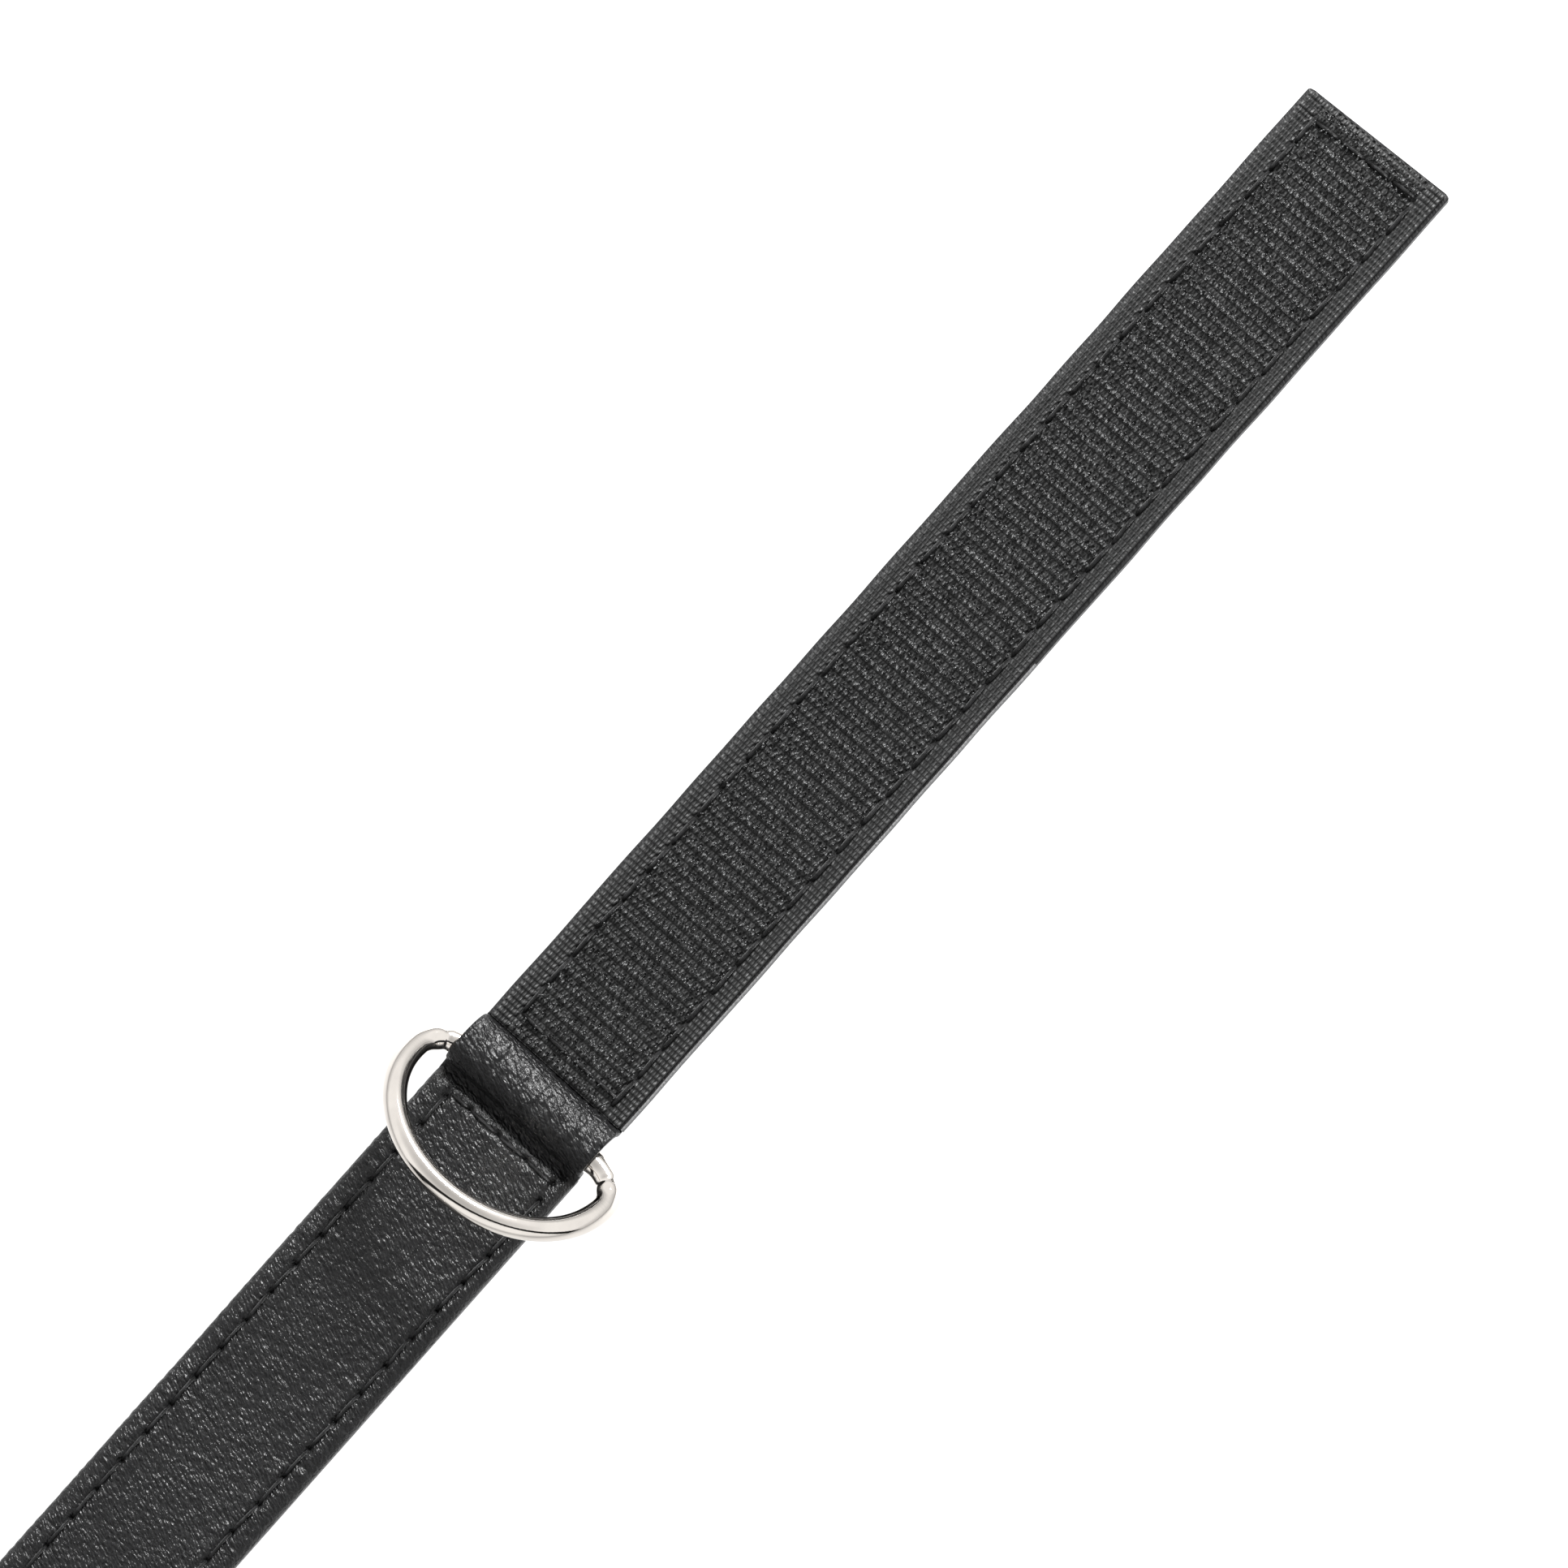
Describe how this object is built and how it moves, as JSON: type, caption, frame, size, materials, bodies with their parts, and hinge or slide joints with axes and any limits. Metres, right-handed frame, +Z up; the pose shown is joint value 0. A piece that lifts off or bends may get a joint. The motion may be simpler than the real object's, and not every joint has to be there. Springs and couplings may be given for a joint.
{
  "type": "martingale collar",
  "caption": "Black leather martingale dog collar with hook-and-loop closure and polished D-rings held in leather rolls at the ends of its neck band.",
  "frame": {"origin": "middle of the underside of the bounding box, on the surface that the open collar lies on", "axes": "+X along the strap towards the tip of the hook tongue, +Z up out of the outer face"},
  "size_m": [0.4336, 0.0322, 0.0153],
  "materials": {
    "face_leather": "soft satin nappa, fine grain, turned and rolled edges",
    "lining_leather": "matte fine suede side",
    "webbing": "matte woven filler, out of sight",
    "hook_tape": "woven tape with stiff monofilament hooks that glint",
    "loop_tape": "brushed soft loop pile",
    "thread": "bonded polyester, slight sheen",
    "nickel": "polished nickel plate"
  },
  "bodies": {
    "band_2": {"band_core_2": "webbing", "band_face_2": "face_leather", "band_lining_2": "lining_leather", "band_seam_2_left": "thread", "band_seam_2_right": "thread"},
    "band_1": {"band_core_1": "webbing", "band_face_1": "face_leather", "band_lining_1": "lining_leather", "band_seam_1_left": "thread", "band_seam_1_right": "thread"},
    "band_3": {"band_core_3": "webbing", "band_face_3": "face_leather", "band_lining_3": "lining_leather", "band_seam_3_left": "thread", "band_seam_3_right": "thread"},
    "end_a": {"end_core_a": "webbing", "end_face_a": "face_leather", "end_lining_a": "lining_leather", "end_seam_a": "thread"},
    "end_b": {"end_core_b": "webbing", "end_face_b": "face_leather", "end_lining_b": "lining_leather", "end_seam_b": "thread"},
    "ring_a": {"d_ring_a": "nickel"},
    "ring_b": {"d_ring_b": "nickel"},
    "tongue_1": {"hook_tape_1": "hook_tape", "tongue_backing_1": "face_leather", "tongue_seam_1": "thread"},
    "tongue_2": {"hook_tape_2": "hook_tape", "tongue_backing_2": "face_leather", "tongue_seam_2_left": "thread", "tongue_seam_2_right": "thread"},
    "tongue_3": {"hook_tape_3": "hook_tape", "tongue_backing_3": "face_leather", "tongue_seam_3": "thread"},
    "lap_1": {"lap_face_1": "face_leather", "loop_tape_1": "loop_tape", "lap_seam_1": "thread"},
    "lap_2": {"lap_face_2": "face_leather", "loop_tape_2": "loop_tape", "lap_seam_2": "thread"}
  },
  "joints": [
    {"name": "curl", "type": "hinge", "parent": "band_2", "child": "band_1", "pos_m": [-0.00203, 0, 0], "axis": [0, 1, 0], "range_deg": [0, 45]},
    {"name": "curl_band_3", "type": "hinge", "parent": "band_2", "child": "band_3", "pos_m": [-0.04803, 0, 0], "axis": [0, -1, 0], "range_deg": [0, 45]},
    {"name": "curl_end_a", "type": "hinge", "parent": "band_1", "child": "end_a", "pos_m": [0.04733, 0, 0], "axis": [0, 1, 0], "range_deg": [0, 45]},
    {"name": "curl_end_b", "type": "hinge", "parent": "band_3", "child": "end_b", "pos_m": [-0.09838, 0, 0], "axis": [0, -1, 0], "range_deg": [0, 45]},
    {"name": "curl_tongue_3", "type": "hinge", "parent": "end_a", "child": "tongue_3", "pos_m": [0.07733, 0, 0], "axis": [0, 1, 0], "range_deg": [0, 45]},
    {"name": "curl_tongue_2", "type": "hinge", "parent": "tongue_3", "child": "tongue_2", "pos_m": [0.12383, 0, 0], "axis": [0, 1, 0], "range_deg": [0, 45]},
    {"name": "curl_tongue_1", "type": "hinge", "parent": "tongue_2", "child": "tongue_1", "pos_m": [0.17033, 0, 0], "axis": [0, 1, 0], "range_deg": [0, 45]},
    {"name": "lap_bend", "type": "hinge", "parent": "end_b", "child": "lap_1", "pos_m": [-0.12838, 0, 0], "axis": [0, -1, 0], "range_deg": [0, 45]},
    {"name": "lap_bend_tip", "type": "hinge", "parent": "lap_1", "child": "lap_2", "pos_m": [-0.17883, 0, 0], "axis": [0, -1, 0], "range_deg": [0, 45]},
    {"name": "ring_a_swing", "type": "hinge", "parent": "end_a", "child": "ring_a", "pos_m": [0.07273, 0, 0.0027], "axis": [0, 1, 0], "range_deg": [-31, 128]},
    {"name": "ring_b_swing", "type": "hinge", "parent": "end_b", "child": "ring_b", "pos_m": [-0.12378, 0, 0.0027], "axis": [0, -1, 0], "range_deg": [-31, 128]}
  ],
  "couplings": [
    {"joint": "curl_band_3", "follows": "curl", "ratio": 1},
    {"joint": "curl_end_a", "follows": "curl", "ratio": 1},
    {"joint": "curl_end_b", "follows": "curl", "ratio": 1},
    {"joint": "curl_tongue_3", "follows": "curl", "ratio": 1},
    {"joint": "curl_tongue_2", "follows": "curl", "ratio": 1},
    {"joint": "curl_tongue_1", "follows": "curl", "ratio": 1},
    {"joint": "lap_bend_tip", "follows": "lap_bend", "ratio": 1}
  ]
}
